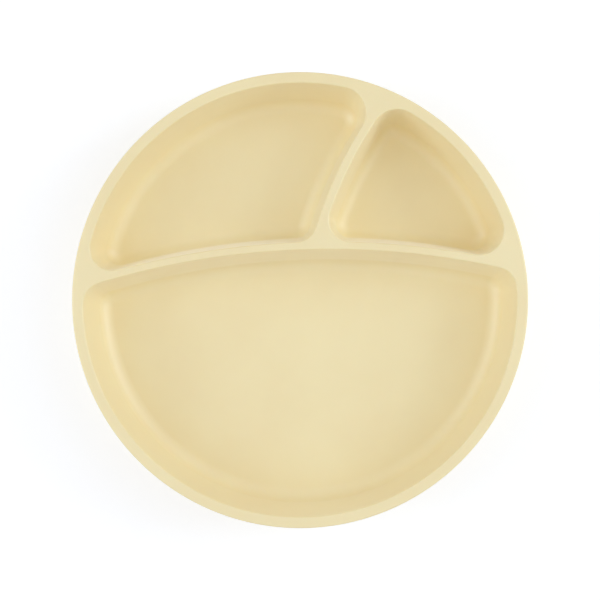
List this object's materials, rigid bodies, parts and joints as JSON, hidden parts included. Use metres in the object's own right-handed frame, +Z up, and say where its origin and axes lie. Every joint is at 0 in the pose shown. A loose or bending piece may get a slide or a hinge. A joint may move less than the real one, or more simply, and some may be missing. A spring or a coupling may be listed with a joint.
{
  "type": "baby suction plate",
  "caption": "Round silicone feeding plate with a long curved divider, a shorter cross divider, a flat rim and a shallow suction foot with a release tab.",
  "frame": {"origin": "centre of the plate, on the table that it rests on", "axes": "+Z up along the plate's axis, +Y towards the two small compartments, -Y towards the large compartment and the release tab"},
  "size_m": [0.2, 0.2, 0.03],
  "materials": {
    "silicone": "satin cream silicone"
  },
  "bodies": {
    "root": {"plate": "silicone"}
  },
  "joints": []
}
